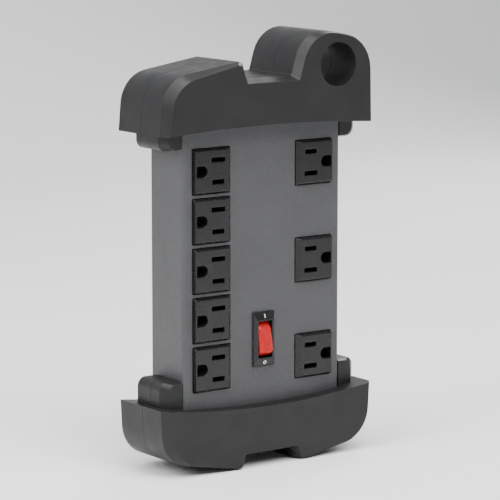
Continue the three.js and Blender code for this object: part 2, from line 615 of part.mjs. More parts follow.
// The tail lies on the coil, turning on a slightly tighter circle, and rises into the plug.
const TAIL = { from: -39.6, turn: 210, bend: 37, start: 12, rise: 70 };
const PLUG = { start: 0.9, half: 12.8, wide: 17, body: 30, neck: 18, neckR: 7, blade: 17.8 };
const PLUG_Z = COIL_TOP + PLUG.half + GAP;
const radians = THREE.MathUtils.degToRad;
const tailCentre = new THREE.Vector2(COIL.x, COIL.y).add(
  new THREE.Vector2(COIL.inner - TAIL.bend, 0).rotateAround(new THREE.Vector2(), radians(TAIL.from)));
const tailPoint = (turn) => {
  const angle = radians(TAIL.from - turn);
  const part = THREE.MathUtils.clamp((turn - TAIL.turn + TAIL.rise) / TAIL.rise, 0, 1);
  return [tailCentre.x + TAIL.bend * Math.cos(angle), tailCentre.y + TAIL.bend * Math.sin(angle),
    TAIL_Z + (PLUG_Z - TAIL_Z) * part * part * (3 - 2 * part)];
};
const tailTurns = Array.from({ length: 19 }, (_, i) => TAIL.start + ((TAIL.turn - TAIL.start) * i) / 18);
piece('cord_tail', toSolid(lead(tailTurns.map(tailPoint), CORD_R, 26, 10)), CORD);

// ---------------------------------------------------------------- plug

// The plug is drawn along +Y from the end of the cord, then turned to follow the tail's last direction.
const plugHeading = radians(TAIL.from - TAIL.turn) - Math.PI / 2;
const plugGroup = new THREE.Group();
plugGroup.position.set(...tailPoint(TAIL.turn));
plugGroup.rotation.z = plugHeading - Math.PI / 2;
group.add(plugGroup);

const plugOutline = (wide, high, corner) => rounded([[-wide, -high, corner], [wide, -high, corner],
  [wide, high, corner], [-wide, high, corner]], 4);
const neckEnd = PLUG.start + PLUG.neck;
const plugEnd = neckEnd + PLUG.body;
const plugBody = loft([
  { y: PLUG.start, outline: plugOutline(PLUG.neckR, PLUG.neckR, PLUG.neckR - 0.1) },
  { y: neckEnd, outline: plugOutline(PLUG.neckR + 2, PLUG.neckR + 1.4, PLUG.neckR) },
  { y: neckEnd + 9, outline: plugOutline(PLUG.wide - 1, PLUG.half - 0.4, 7) },
  { y: plugEnd - 2, outline: plugOutline(PLUG.wide, PLUG.half, 7) },
  { y: plugEnd, outline: plugOutline(PLUG.wide - 1.2, PLUG.half - 1.2, 6) },
]);
const PRONGS = [
  ['plug_line_blade', -SLOT_Z, 3, 0.75, 3.15, PLUG.blade],
  ['plug_neutral_blade', SLOT_Z, 3, 0.75, 3.9, PLUG.blade],
];
const GROUND_PRONG = { z: -8.5, r: 2.4, long: 20.5 };
const sunk = 4; // how deep the prongs are held in the moulding
const prongHoles = PRONGS.map(([, x, z, thin, tall]) => block([x - thin - GAP, x + thin + GAP],
  [plugEnd - sunk - GAP, plugEnd + 1], [z - tall - GAP, z + tall + GAP]));
const groundHole = rodAlongY(0, GROUND_PRONG.z, GROUND_PRONG.r + GAP, plugEnd - sunk - GAP, plugEnd + 1, 16);
plugGroup.add(piece('plug_body', cut(plugBody, prongHoles, groundHole), CORD));
for (const [name, x, z, thin, tall, long] of PRONGS) {
  plugGroup.add(piece(name, block([x - thin, x + thin], [plugEnd - sunk, plugEnd + long],
    [z - tall, z + tall]), BRASS));
}
plugGroup.add(piece('plug_ground_pin', toSolid(rodAlongY(0, GROUND_PRONG.z, GROUND_PRONG.r, plugEnd - sunk,
  plugEnd + GROUND_PRONG.long, 16)), BRASS));

export default group;
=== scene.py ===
"""A workshop power strip: charcoal steel body, black moulded end caps, eight outlets and a coiled cord."""
import json
import math

import bmesh
import bpy
from mathutils import Matrix, Vector


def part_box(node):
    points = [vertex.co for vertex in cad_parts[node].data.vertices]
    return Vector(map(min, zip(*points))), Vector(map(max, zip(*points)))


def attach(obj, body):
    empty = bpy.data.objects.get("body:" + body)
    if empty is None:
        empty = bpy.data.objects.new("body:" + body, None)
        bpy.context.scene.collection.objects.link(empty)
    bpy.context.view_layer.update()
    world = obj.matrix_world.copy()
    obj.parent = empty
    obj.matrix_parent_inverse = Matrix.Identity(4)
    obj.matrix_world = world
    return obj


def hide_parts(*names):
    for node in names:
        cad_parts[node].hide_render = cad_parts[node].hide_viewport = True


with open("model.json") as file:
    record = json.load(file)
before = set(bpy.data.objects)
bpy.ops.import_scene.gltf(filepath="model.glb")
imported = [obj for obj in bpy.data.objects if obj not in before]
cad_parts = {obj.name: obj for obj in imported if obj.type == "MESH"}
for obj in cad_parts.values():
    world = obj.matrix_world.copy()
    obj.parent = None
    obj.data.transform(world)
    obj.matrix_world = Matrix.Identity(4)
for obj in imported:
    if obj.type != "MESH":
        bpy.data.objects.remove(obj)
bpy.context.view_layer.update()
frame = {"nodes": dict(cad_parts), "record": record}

MM = 0.001
BODY, ROCKER = "strip", "rocker"
NODES = frame["nodes"]

# ---------------------------------------------------------------- mesh helpers, in mm


def link(name, data):
    piece = bpy.data.objects.new(name, data)
    bpy.context.scene.collection.objects.link(piece)
    return piece


def finished(name, shape, matrix=None):
    """Closes a bmesh into a linked object, its faces turned outwards."""
    bmesh.ops.recalc_face_normals(shape, faces=shape.faces)
    if matrix:
        bmesh.ops.transform(shape, matrix=matrix, verts=shape.verts)
    mesh = bpy.data.meshes.new(name)
    shape.to_mesh(mesh)
    shape.free()
    return link(name, mesh)


HOLE_POINTS = 24


def circle(radius, count=HOLE_POINTS, x=0.0, z=0.0):
    """Points round a circle, as (x, z)."""
    turns = [2 * math.pi * k / count for k in range(count)]
    return [(x + radius * math.cos(a), z + radius * math.sin(a)) for a in turns]


def rectangle(x0, x1, z0, z1):
    return [(x0, z0), (x1, z0), (x1, z1), (x0, z1)]


def loop_of(shape, outline, y):
    """A closed loop of vertices and edges through (x, z) points at one y."""
    verts = [shape.verts.new((x * MM, y * MM, z * MM)) for x, z in outline]
    return verts, [shape.edges.new((verts[k - 1], verts[k])) for k in range(len(verts))]


def wall(shape, low, high):
    """The faces between two rings of the same length."""
    for k in range(len(low)):
        shape.faces.new((low[k - 1], low[k], high[k], high[k - 1]))


def fill(shape, edges):
    """A flat face inside the outer loop of the edges, with a hole for each loop inside it."""
    bmesh.ops.triangle_fill(shape, use_beauty=True, use_dissolve=False, edges=edges)


def net(shape, rows):
    """The faces between neighbouring rows of vertices."""
    for low, high in zip(rows, rows[1:]):
        for k in range(len(low) - 1):
            shape.faces.new((low[k], low[k + 1], high[k + 1], high[k]))


# How each kind of edge is rounded: width, segments, and the least turn in degrees that counts as an edge.
ROUNDING = {
    "cap": (0.7, 3, 28), "body": (0.28, 3, 50), "cover": (0.35, 3, 30), "lip": (0.3, 3, 30),
    "outlet": (0.32, 3, 20), "bezel": (0.3, 3, 15), "rocker": (0.3, 3, 18), "blade": (0.2, 2, 30),
    "strap": (0.25, 2, 30),
}


def rounded_edges(piece, kind):
    """Bevels the piece's edges, and evens out its shading."""
    width, segments, angle = ROUNDING[kind]
    bevel = piece.modifiers.new("edges", "BEVEL")
    bevel.width, bevel.segments, bevel.limit_method = width * MM, segments, "ANGLE"
    bevel.angle_limit, bevel.use_clamp_overlap = math.radians(angle), True
    bevel.miter_outer = "MITER_ARC"
    normals = piece.modifiers.new("normals", "WEIGHTED_NORMAL")
    normals.keep_sharp = False
    piece.data.shade_smooth()


def smooth_by_angle(piece, angle):
    """Smooth shading, but for edges that turn by more than the angle in degrees."""
    shape = bmesh.new()
    shape.from_mesh(piece.data)
    for face in shape.faces:
        face.smooth = True
    for edge in shape.edges:
        edge.smooth = len(edge.link_faces) == 2 and edge.calc_face_angle(0) < math.radians(angle)
    shape.to_mesh(piece.data)
    shape.free()


def thickened(piece, thickness):
    """Gives a sheet its thickness, half of it to each side."""
    sheet = piece.modifiers.new("thickness", "SOLIDIFY")
    sheet.thickness, sheet.offset = thickness * MM, 0
    return sheet


def turned(name, profile, steps=48):
    """A closed solid of revolution about Y: profile is (radius, y), from the axis to the axis."""
    shape = bmesh.new()
    rings = []
    for radius, y in profile:
        around = circle(radius, steps) if radius else [(0, 0)]
        rings.append([shape.verts.new((x * MM, y * MM, z * MM)) for x, z in around])
    for low, high in zip(rings, rings[1:]):
        for k in range(steps):
            corners = [low[k % len(low)], low[(k + 1) % len(low)]]
            corners += [high[(k + 1) % len(high)], high[k % len(high)]]
            unique = list(dict.fromkeys(corners))
            if len(unique) > 2:
                shape.faces.new(unique)
    piece = finished(name, shape)
    piece.data.shade_smooth()
    return piece


# ---------------------------------------------------------------- camera, light and floor

# Angles are in degrees round the object and above it, lengths in metres.
AZIMUTH, ELEVATION = -36, 9
LENS, DISTANCE = 200, 1.62
CLIP_START, CLIP_END = 0.05, 20
LOOK_AT = Vector((0.001, 0, 0.1235))
LIGHTS = (
    # name, azimuth, elevation, distance, width, height, watts
    ("key", -82, 36, 1.5, 0.7, 1.0, 24),
    ("front", 12, 40, 1.8, 1.0, 0.7, 17),
    ("top", -40, 80, 1.3, 1.0, 0.6, 16),
    ("rim", 125, 30, 1.6, 0.4, 0.9, 12),
    ("backdrop", -10, 55, 2.6, 2.4, 1.4, 55),
)
# The floor is flat from front to back, then curves up into a wall.
FLOOR = {"front": -4, "back": 1.1, "radius": 0.9, "height": 3.4, "half": 20, "steps": 20}
FLOOR_COLOR, FLOOR_ROUGHNESS = (0.86, 0.86, 0.855, 1), 0.75
WORLD_COLOR, WORLD_STRENGTH = (0.9, 0.93, 1, 1), 0.32


def aim(thing, azimuth, elevation, distance):
    """Places a camera or a light at its distance from the target, and turns it that way."""
    around, above = math.radians(azimuth), math.radians(elevation)
    flat = math.cos(above)
    back = Vector((math.sin(around) * flat, -math.cos(around) * flat, math.sin(above)))
    thing.location = LOOK_AT + back * distance
    thing.rotation_euler = (-back).to_track_quat("-Z", "Y").to_euler()


def make_camera():
    camera = link("camera", bpy.data.cameras.new("camera"))
    camera.data.lens = LENS
    camera.data.clip_start, camera.data.clip_end = CLIP_START, CLIP_END
    aim(camera, AZIMUTH, ELEVATION, DISTANCE)
    bpy.context.scene.camera = camera


def make_lights():
    for name, azimuth, elevation, distance, width, height, watts in LIGHTS:
        light = link(name, bpy.data.lights.new(name, "AREA"))
        light.data.shape, light.data.size, light.data.size_y = "RECTANGLE", width, height
        light.data.energy = watts
        aim(light, azimuth, elevation, distance)


def make_stage():
    back, radius, steps = FLOOR["back"], FLOOR["radius"], FLOOR["steps"]
    line = [(FLOOR["front"], 0.0), (back, 0.0)]
    for k in range(1, steps + 1):
        turn = math.pi / 2 * k / steps
        line.append((back + radius * math.sin(turn), radius * (1 - math.cos(turn))))
    line.append((back + radius, FLOOR["height"]))
    shape = bmesh.new()
    net(shape, [[shape.verts.new((x, y, z)) for x in (-FLOOR["half"], FLOOR["half"])] for y, z in line])
    mesh = bpy.data.meshes.new("floor")
    shape.to_mesh(mesh)
    shape.free()
    mesh.shade_smooth()
    paint = bpy.data.materials.new("floor")
    paint.use_nodes = True
    shader = paint.node_tree.nodes["Principled BSDF"]
    shader.inputs["Base Color"].default_value = FLOOR_COLOR
    shader.inputs["Roughness"].default_value = FLOOR_ROUGHNESS
    mesh.materials.append(paint)
    link("floor", mesh)


def make_world():
    world = bpy.data.worlds.new("world")
    world.use_nodes = True
    background = world.node_tree.nodes["Background"]
    background.inputs["Color"].default_value = WORLD_COLOR
    background.inputs["Strength"].default_value = WORLD_STRENGTH
    bpy.context.scene.world = world


make_camera()
make_stage()
make_world()
make_lights()

# ---------------------------------------------------------------- materials


# Where an edge starts to count as rubbed, as the dot product of its flat and its rounded normal.
EDGE_DOT, EDGE_SAMPLES = (0.86, 0.995), 4
# How many times paler than its surface a rubbed edge or a fleck is.
PALER = {"rubbed_plastic": 3.6, "rubbed_steel": 2.2, "fleck": 2.6}


class Nodes:
    """A small helper for building one material's node tree."""

    def __init__(self, name):
        self.material = bpy.data.materials.new(name)
        self.material.use_nodes = True
        self.tree = self.material.node_tree
        self.shader = self.tree.nodes["Principled BSDF"]
        self.place = self.add("ShaderNodeTexCoord").outputs["Object"]

    def add(self, kind, **inputs):
        node = self.tree.nodes.new(kind)
        for key, value in inputs.items():
            self.feed(node, key.replace("_", " "), value)
        return node

    def feed(self, node, key, value):
        socket = node.inputs[key]
        if isinstance(value, bpy.types.NodeSocket):
            self.tree.links.new(value, socket)
        else:
            socket.default_value = value

    def noise(self, scale, detail=3.0, roughness=0.55, place=None):
        node = self.add("ShaderNodeTexNoise", Scale=scale, Detail=detail, Roughness=roughness)
        self.tree.links.new(place or self.place, node.inputs["Vector"])
        return node.outputs["Fac"]

    def stretched(self, scale):
        node = self.add("ShaderNodeMapping", Scale=scale)
        self.tree.links.new(self.place, node.inputs["Vector"])
        return node.outputs["Vector"]

    def ramp(self, value, low, high):
        """low and high are (position, colour) pairs."""
        node = self.add("ShaderNodeValToRGB", Fac=value)
        for element, (at, color) in zip(node.color_ramp.elements, (low, high)):
            element.position, element.color = at, (*color, 1)
        return node.outputs["Color"]

    def spread(self, value, low, high, start=0.3, end=0.7):
        node = self.add("ShaderNodeMapRange", Value=value)
        for key, number in (("From Min", start), ("From Max", end), ("To Min", low), ("To Max", high)):
            node.inputs[key].default_value = number
        return node.outputs["Result"]

    def maths(self, operation, a, b):
        node = self.tree.nodes.new("ShaderNodeMath")
        node.operation = operation
        self.feed(node, 0, a)
        self.feed(node, 1, b)
        return node.outputs[0]

    def bump(self, height, strength, distance, under=None):
        node = self.add("ShaderNodeBump", Height=height, Strength=strength, Distance=distance)
        if under:
            self.tree.links.new(under, node.inputs["Normal"])
        return node.outputs["Normal"]

    def edges(self, radius):
        """0 on flat faces, rising towards 1 where an outer edge turns within the radius."""
        bevel = self.tree.nodes.new("ShaderNodeBevel")
        bevel.samples = EDGE_SAMPLES
        bevel.inputs["Radius"].default_value = radius
        flat = self.add("ShaderNodeNewGeometry").outputs["Normal"]
        dot = self.tree.nodes.new("ShaderNodeVectorMath")
        dot.operation = "DOT_PRODUCT"
        self.tree.links.new(bevel.outputs["Normal"], dot.inputs[0])
        self.tree.links.new(flat, dot.inputs[1])
        return self.spread(dot.outputs["Value"], 1, 0, *EDGE_DOT)

    def mixed(self, amount, first, second):
        node = self.tree.nodes.new("ShaderNodeMix")
        node.data_type = "RGBA"
        self.feed(node, 0, amount)
        for socket, value in zip([i for i in node.inputs if i.type == "RGBA"], (first, second)):
            if isinstance(value, bpy.types.NodeSocket):
                self.tree.links.new(value, socket)
            else:
                socket.default_value = (*value, 1)
        return [o for o in node.outputs if o.type == "RGBA"][0]

    def surface(self, **values):
        for key, value in values.items():
            self.feed(self.shader, key.replace("_", " "), value)
        return self.material


def shades(color, spread):
    """The colour made darker and lighter by the same share."""
    return tuple(c * (1 - spread) for c in color), tuple(min(1, c * (1 + spread)) for c in color)


def paler(color, kind):
    return tuple(PALER[kind] * c for c in color)


def moulded(name, color, rough, grain=900, depth=0.00012, variation=0.14, worn=0.0, shine=0.5):
    """Moulded plastic: a fine spark-eroded grain, soft blotches in its gloss, and edges rubbed paler."""
    n = Nodes(name)
    dark, light = shades(color, variation)
    tone = n.ramp(n.noise(45, 5), (0.35, dark), (0.68, light))
    gloss = n.spread(n.noise(110, 4), rough - 0.06, rough + 0.07)
    if worn:
        rubbed = n.maths("MULTIPLY", n.edges(0.0009), n.spread(n.noise(170, 4), 0.1, 1, 0.4, 0.62))
        tone = n.mixed(n.maths("MULTIPLY", rubbed, worn), tone, paler(color, "rubbed_plastic"))
        gloss = n.maths("SUBTRACT", gloss, n.maths("MULTIPLY", rubbed, 0.1))
    fine = n.bump(n.noise(grain, 2, 0.6), 0.5, depth)
    grained = n.bump(n.noise(grain * 0.3, 2, 0.5), 0.2, depth, fine)
    return n.surface(Base_Color=tone, Roughness=gloss, Specular_IOR_Level=shine, Normal=grained)


def powder_coat(name, color, rough):
    """Powder-coated steel: a wrinkled texture under a millimetre across, with fine lighter flecks."""
    n = Nodes(name)
    dark, light = shades(color, 0.1)
    tone = n.ramp(n.noise(24, 4), (0.3, dark), (0.7, light))
    flecks = n.spread(n.noise(2600, 1), 0, 0.5, 0.6, 0.72)
    tone = n.mixed(flecks, tone, paler(color, "fleck"))
    cells = n.add("ShaderNodeTexVoronoi", Scale=1500)
    n.tree.links.new(n.place, cells.inputs["Vector"])
    leather = n.bump(cells.outputs["Distance"], 0.55, 0.00016)
    wavy = n.bump(n.noise(420, 2), 0.3, 0.0002, leather)
    rubbed = n.maths("MULTIPLY", n.edges(0.0006), n.spread(n.noise(240, 3), 0, 0.6, 0.42, 0.6))
    tone = n.mixed(rubbed, tone, paler(color, "rubbed_steel"))
    gloss = n.spread(n.noise(260, 3), rough - 0.05, rough + 0.08)
    return n.surface(Base_Color=tone, Roughness=gloss, Specular_IOR_Level=0.35, Normal=wavy)


def metal(name, color, rough, stretch=(90, 90, 1500), marks=0.16):
    """Rolled or plated metal with fine lines along one way."""
    n = Nodes(name)
    dark, light = shades(color, marks)
    lines = n.noise(1, 4, 0.6, n.stretched(stretch))
    tone = n.ramp(lines, (0.3, dark), (0.7, light))
    gloss = n.spread(n.noise(160, 3), rough - 0.08, rough + 0.12)
    return n.surface(Base_Color=tone, Roughness=gloss, Metallic=1.0, Normal=n.bump(lines, 0.2, 0.00006))


def jacket(name, color, rough):
    """The cord's matt jacket: slight pebbling and paler scuffs."""
    n = Nodes(name)
    dark, light = shades(color, 0.22)
    tone = n.ramp(n.noise(130, 5), (0.4, dark), (0.72, light))
    pebbled = n.bump(n.noise(1400, 2), 0.4, 0.00008)
    gloss = n.spread(n.noise(200, 3), rough - 0.1, rough + 0.08)
    return n.surface(Base_Color=tone, Roughness=gloss, Specular_IOR_Level=0.35, Normal=pebbled)


def woven(name, color):
    """The strap's close weave, crossed at right angles."""
    n = Nodes(name)
    dark, light = shades(color, 0.45)
    waves = []
    for bands in ("X", "Z"):
        wave = n.add("ShaderNodeTexWave", Scale=420, Distortion=0.6)
        wave.bands_direction = bands
        n.tree.links.new(n.place, wave.inputs["Vector"])
        waves.append(wave.outputs["Fac"])
    weave = n.maths("MULTIPLY", waves[0], waves[1])
    tone = n.ramp(weave, (0.1, dark), (0.7, light))
    return n.surface(Base_Color=tone, Roughness=0.92, Sheen_Weight=0.35, Normal=n.bump(weave, 0.7, 0.0003))


def glossy_rocker(name, dark, light):
    """The rocker's glossy moulding, with a thin clear coat."""
    n = Nodes(name)
    tone = n.ramp(n.noise(90, 3), (0.3, dark), (0.7, light))
    gloss = n.spread(n.noise(320, 3), 0.2, 0.32)
    ripple = n.bump(n.noise(700), 0.08, 0.0001)
    return n.surface(Base_Color=tone, Roughness=gloss, Coat_Weight=0.3, Normal=ripple)


def finishes():
    """Every finish by its name: the record's slots, the strap's fabric and the printed marks."""
    made = {
        "cap_plastic": moulded(
            "cap_plastic", (0.0105, 0.0106, 0.0112), 0.44, depth=0.00014, worn=0.55, shine=0.28),
        "body_steel": powder_coat("body_steel", (0.048, 0.0483, 0.05), 0.38),
        "outlet_plastic": moulded(
            "outlet_plastic", (0.007, 0.0071, 0.0075), 0.27, grain=1500, depth=0.00005,
            worn=0.35, shine=0.32),
        "carrier_plastic": moulded(
            "carrier_plastic", (0.62, 0.58, 0.48), 0.5, grain=1200, depth=0.00006, variation=0.06),
        "rocker_red": glossy_rocker("rocker_red", (0.36, 0.004, 0.005), (0.41, 0.006, 0.007)),
        "contact_brass": metal("contact_brass", (0.72, 0.5, 0.2), 0.3),
        "zinc_steel": metal("zinc_steel", (0.55, 0.56, 0.58), 0.32, stretch=(900, 900, 900), marks=0.1),
        "cord_jacket": jacket("cord_jacket", (0.012, 0.012, 0.0125), 0.48),
        "strap_fabric": woven("strap_fabric", (0.03, 0.03, 0.034)),
    }
    wires = {"black": (0.015, 0.015, 0.015), "white": (0.8, 0.8, 0.77), "green": (0.02, 0.28, 0.07)}
    for name, color in wires.items():
        made[f"wire_{name}"] = jacket(f"wire_{name}", color, 0.4)
    made["marks"] = moulded(
        "printed_marks", (0.75, 0.75, 0.72), 0.5, grain=1500, depth=0.00003, variation=0.05)
    return made


FINISHES = finishes()
SLOT_OF = {s["node"]: s["material_slot"] for s in frame["record"]["subparts"]}


def dress(piece, finish, body=BODY, stands_for=()):
    """Gives a piece its material, the body it rides on, and the CAD nodes it stands for."""
    piece.data.materials.clear()
    piece.data.materials.append(FINISHES[finish])
    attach(piece, body)
    if stands_for:
        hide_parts(*stands_for)
    return piece


# ---------------------------------------------------------------- the cord, its relief and its plug

# These are in mm and in turns of the coil.
CORD_R, CORD_ROUNDNESS = 4.5, 5
EXIT = Vector((0, 26, 22.5))
COIL = {"x": 50, "y": 82.5, "radius": 50, "turns": 5.61}
# The winding moves to its next place over a short part of a turn: down, in, up, and onto the crown.
STEP_SIZE, STEP_TURNS = 9, 0.17
STEPS_DOWN, STEP_IN, STEPS_UP, STEP_CROWN = (0.80, 1.80), 2.62, (3.44, 4.44), 5.44
CROWN_RISE = 9.3
# The tail runs back inside the coil and climbs over its last degrees to the plug.
TAIL = {"from": math.radians(-39.6), "turn": 210, "radius": 37, "shift": 4, "climb": 70, "z": 31.8}
PLUG_Z, NECK = 40.1, (5, 10, 15, 20)
RUN_UP_POINTS, POINTS_PER_TURN, TAIL_STEP = 16, 40, 6


def smooth(start, end, value):
    """0 at start and before it, 1 at end and past it."""
    t = min(1, max(0, (value - start) / (end - start)))
    return t * t * (3 - 2 * t)


def stepped(at, turns):
    return smooth(at, at + STEP_TURNS, turns)


def coil_point(turns):
    """A point of the winding: two layers down, one inwards, two up, then the crown."""
    radius = COIL["radius"] - STEP_SIZE * stepped(STEP_IN, turns)
    layers = sum(stepped(at, turns) for at in STEPS_UP) - sum(stepped(at, turns) for at in STEPS_DOWN)
    z = EXIT.z + STEP_SIZE * layers + CROWN_RISE * stepped(STEP_CROWN, turns)
    angle = math.pi - 2 * math.pi * turns
    return Vector((COIL["x"] + radius * math.cos(angle), COIL["y"] + radius * math.sin(angle), z))


def tail_point(turn):
    """A point of the tail, turn in degrees from where it leaves the winding."""
    x = COIL["x"] + TAIL["shift"] * math.cos(TAIL["from"])
    y = COIL["y"] + TAIL["shift"] * math.sin(TAIL["from"])
    angle = TAIL["from"] - math.radians(turn)
    z = TAIL["z"] + (PLUG_Z - TAIL["z"]) * smooth(TAIL["turn"] - TAIL["climb"], TAIL["turn"], turn)
    return Vector((x + TAIL["radius"] * math.cos(angle), y + TAIL["radius"] * math.sin(angle), z))


PLUG_HEADING = TAIL["from"] - math.radians(TAIL["turn"]) - math.pi / 2
PLUG_AT = tail_point(TAIL["turn"])
# Takes a piece drawn along +Y from the origin to the plug's place.
PLUG_FRAME = Matrix.Translation(PLUG_AT * MM) @ Matrix.Rotation(PLUG_HEADING - math.pi / 2, 4, "Z")


def cord_route():
    run_up_end = Vector((0, COIL["y"], EXIT.z))
    run_up = [EXIT.lerp(run_up_end, k / RUN_UP_POINTS) for k in range(RUN_UP_POINTS)]
    whole = int(COIL["turns"] * POINTS_PER_TURN)
    turns = [coil_point(k / POINTS_PER_TURN) for k in range(whole + 1)] + [coil_point(COIL["turns"])]
    tail = [tail_point(turn) for turn in range(TAIL_STEP, TAIL["turn"] + 1, TAIL_STEP)]
    ahead = Vector((math.cos(PLUG_HEADING), math.sin(PLUG_HEADING), 0))
    return run_up + turns + tail + [PLUG_AT + ahead * along for along in NECK]


def make_cord():
    curve = bpy.data.curves.new("power_cord", "CURVE")
    curve.dimensions = "3D"
    curve.bevel_depth, curve.bevel_resolution = CORD_R * MM, CORD_ROUNDNESS
    curve.use_fill_caps = True
    spline = curve.splines.new("POLY")
    route = cord_route()
    spline.points.add(len(route) - 1)
    for point, at in zip(spline.points, route):
        point.co = (*(at * MM), 1)
    spline.use_smooth = True
    return dress(link("power_cord", curve), "cord_jacket", stands_for=("cord_lead", "cord_coil", "cord_tail"))


# The strain relief as (radius, y): a gland held in the cap's wall, a collar, and a lip round the cord.
GLAND = [(0, 18.2), (9.2, 18.2), (9.4, 18.4), (9.4, 20.9), (9.2, 21.1), (6.6, 21.1), (6.6, 24.3)]
COLLAR = [(7.9, 24.3), (8.2, 24.6), (8.2, 26.6), (7.8, 27.1)]
CORD_LIP = [(5.3, 44.0), (5.4, 44.4), (5.3, 45.7), (5.0, 46), (0, 46)]
RIBS = {"count": 5, "start": 28.6, "end": 44.0, "radius": 7.2, "taper": 1.6, "groove": 1.0}


def make_relief():
    """Gland and collar, then ribs that narrow down to the cord."""
    pitch = (RIBS["end"] - RIBS["start"]) / RIBS["count"]
    profile = GLAND + COLLAR
    for k in range(RIBS["count"]):
        y = RIBS["start"] + k * pitch
        radius = RIBS["radius"] - RIBS["taper"] * k / (RIBS["count"] - 1)
        groove = radius - RIBS["groove"]
        profile += [(groove, y - 0.9), (groove, y - 0.2), (radius - 0.25, y - 0.05), (radius, y + 0.2)]
        profile += [(radius - 0.12, y + pitch - 1.5), (radius - 0.4, y + pitch - 1.25)]
    relief = turned("cord_relief", profile + CORD_LIP)
    relief.data.transform(Matrix.Translation((EXIT.x * MM, 0, EXIT.z * MM)))
    return dress(relief, "cord_jacket", stands_for=("strain_relief",))


# The plug's moulding as sections (y, half wide, half high, corner) along +Y.
NECK_END = [(0.9, 6.2, 6.2, 6.1), (1.5, 6.9, 6.9, 6.8)]
SHOULDER = [
    (18.9, 9.2, 8.6, 7.6), (21, 11.2, 9.6, 7.2), (23, 13.2, 10.7, 7), (25.4, 15.1, 11.8, 7),
    (28, 16.2, 12.5, 7), (30, 16.6, 12.7, 7),
]
FACE_END = [(45.4, 17, 12.8, 7), (47.6, 17, 12.8, 7), (48.6, 16.6, 12.4, 6.6), (48.9, 15.9, 11.7, 6)]
# One rib of the neck as (y, added radius), and one finger groove as a section.
NECK_RIB = ((0, 0), (0.25, -0.8), (1.25, -0.75), (1.5, 0.1))
GRIP = ((0, 16.8, 12.75, 7), (0.45, 16.0, 12.7, 6.6), (1.25, 16.0, 12.7, 6.6), (1.7, 16.85, 12.75, 7))
NECK_RIBS = [(3.4 + 3.6 * k, 7.0 + 0.4 * k) for k in range(4)]
GRIP_YS = [31.2 + 3.2 * k for k in range(4)]
POINTS_PER_CORNER = 7

BLADES = {"line": (-6.35, 3.15), "neutral": (6.35, 3.9)}
BLADE = {
    "start": 44.9, "end": 66.7, "thick": 1.5, "tip": 1.1, "rise": 3,
    "hole": 59, "hole_r": 1.6, "hole_points": 20,
}
GROUND_PIN = [(0, 44.9), (2.4, 44.9), (2.4, 66.6), (2.3, 67.2), (1.9, 68.3), (1.3, 69), (0, 69.4)]
GROUND_PIN_DROP = -8.5


def rounded_rectangle(half_wide, half_high, corner):
    """A rounded rectangle about the origin, as (x, z)."""
    points = []
    for side_x, side_z, start in ((1, 1, 0), (-1, 1, 90), (-1, -1, 180), (1, -1, 270)):
        middle_x, middle_z = side_x * (half_wide - corner), side_z * (half_high - corner)
        for k in range(POINTS_PER_CORNER):
            a = math.radians(start + 90 * k / (POINTS_PER_CORNER - 1))
            points.append((middle_x + corner * math.cos(a), middle_z + corner * math.sin(a)))
    return points


def plug_moulding():
    """Ribbed neck, shoulder, and a body with finger grooves on its sides."""
    sections = list(NECK_END)
    for y, radius in NECK_RIBS:
        sections += [(y + dy, radius + dr, radius + dr, radius + dr - 0.1) for dy, dr in NECK_RIB]
    sections += SHOULDER
    for y in GRIP_YS:
        sections += [(y + dy, wide, high, corner) for dy, wide, high, corner in GRIP]
    shape = bmesh.new()
    rings = [loop_of(shape, rounded_rectangle(*size), y)[0] for y, *size in sections + FACE_END]
    for low, high in zip(rings, rings[1:]):
        wall(shape, low, high)
    shape.faces.new(rings[0])
    shape.faces.new(reversed(rings[-1]))
    piece = finished("plug_moulding", shape)
    piece.data.shade_smooth()
    return piece


def plug_blade(name, half_high):
    """A plate with a chamfered tip and a round hole through it, standing across X."""
    start, end, tip, thick = BLADE["start"], BLADE["end"], BLADE["tip"], BLADE["thick"]
    outline = [(start, -half_high), (end - tip, -half_high), (end, -half_high + tip)]
    outline += [(y, -z) for y, z in reversed(outline)]
    shape = bmesh.new()
    edges = []
    for loop in (outline, circle(BLADE["hole_r"], BLADE["hole_points"], BLADE["hole"])):
        verts = [shape.verts.new((-thick / 2 * MM, y * MM, z * MM)) for y, z in loop]
        edges += [shape.edges.new((verts[k - 1], verts[k])) for k in range(len(verts))]
    fill(shape, edges)
    extruded = bmesh.ops.extrude_face_region(shape, geom=shape.faces[:])
    moved = [v for v in extruded["geom"] if isinstance(v, bmesh.types.BMVert)]
    bmesh.ops.translate(shape, vec=(thick * MM, 0, 0), verts=moved)
    return finished(name, shape)


def make_plug():
    body = plug_moulding()
    dress(body, "cord_jacket", stands_for=("plug_body",))
    pieces = [body]
    for name, (x, half_high) in BLADES.items():
        blade = plug_blade(f"{name}_blade_plate", half_high)
        blade.data.transform(Matrix.Translation((x * MM, 0, BLADE["rise"] * MM)))
        rounded_edges(blade, "blade")
        pieces.append(dress(blade, "contact_brass", stands_for=(f"plug_{name}_blade",)))
    pin = turned("ground_pin_rod", GROUND_PIN, steps=24)
    pin.data.transform(Matrix.Translation((0, 0, GROUND_PIN_DROP * MM)))
    pieces.append(dress(pin, "contact_brass", stands_for=("plug_ground_pin",)))
    for piece in pieces:
        piece.data.transform(PLUG_FRAME)
    return pieces


# The strap round the bundle: a rounded loop in Y and Z, and its free end lapped over the top.
STRAP = {
    "back": -32.9, "front": -54.8, "low": 0.45, "high": 36.9, "radius": 3, "half": 7, "thick": 0.9,
    "across": 8, "per_corner": 8,
}
STRAP_END = {"front": -51, "back": -38.5, "z": 37.75, "half": 6.6, "thick": 0.8, "curl": 1.3, "rows": 12}
CURL_FROM, CURL_TO = 0.55, 1.15


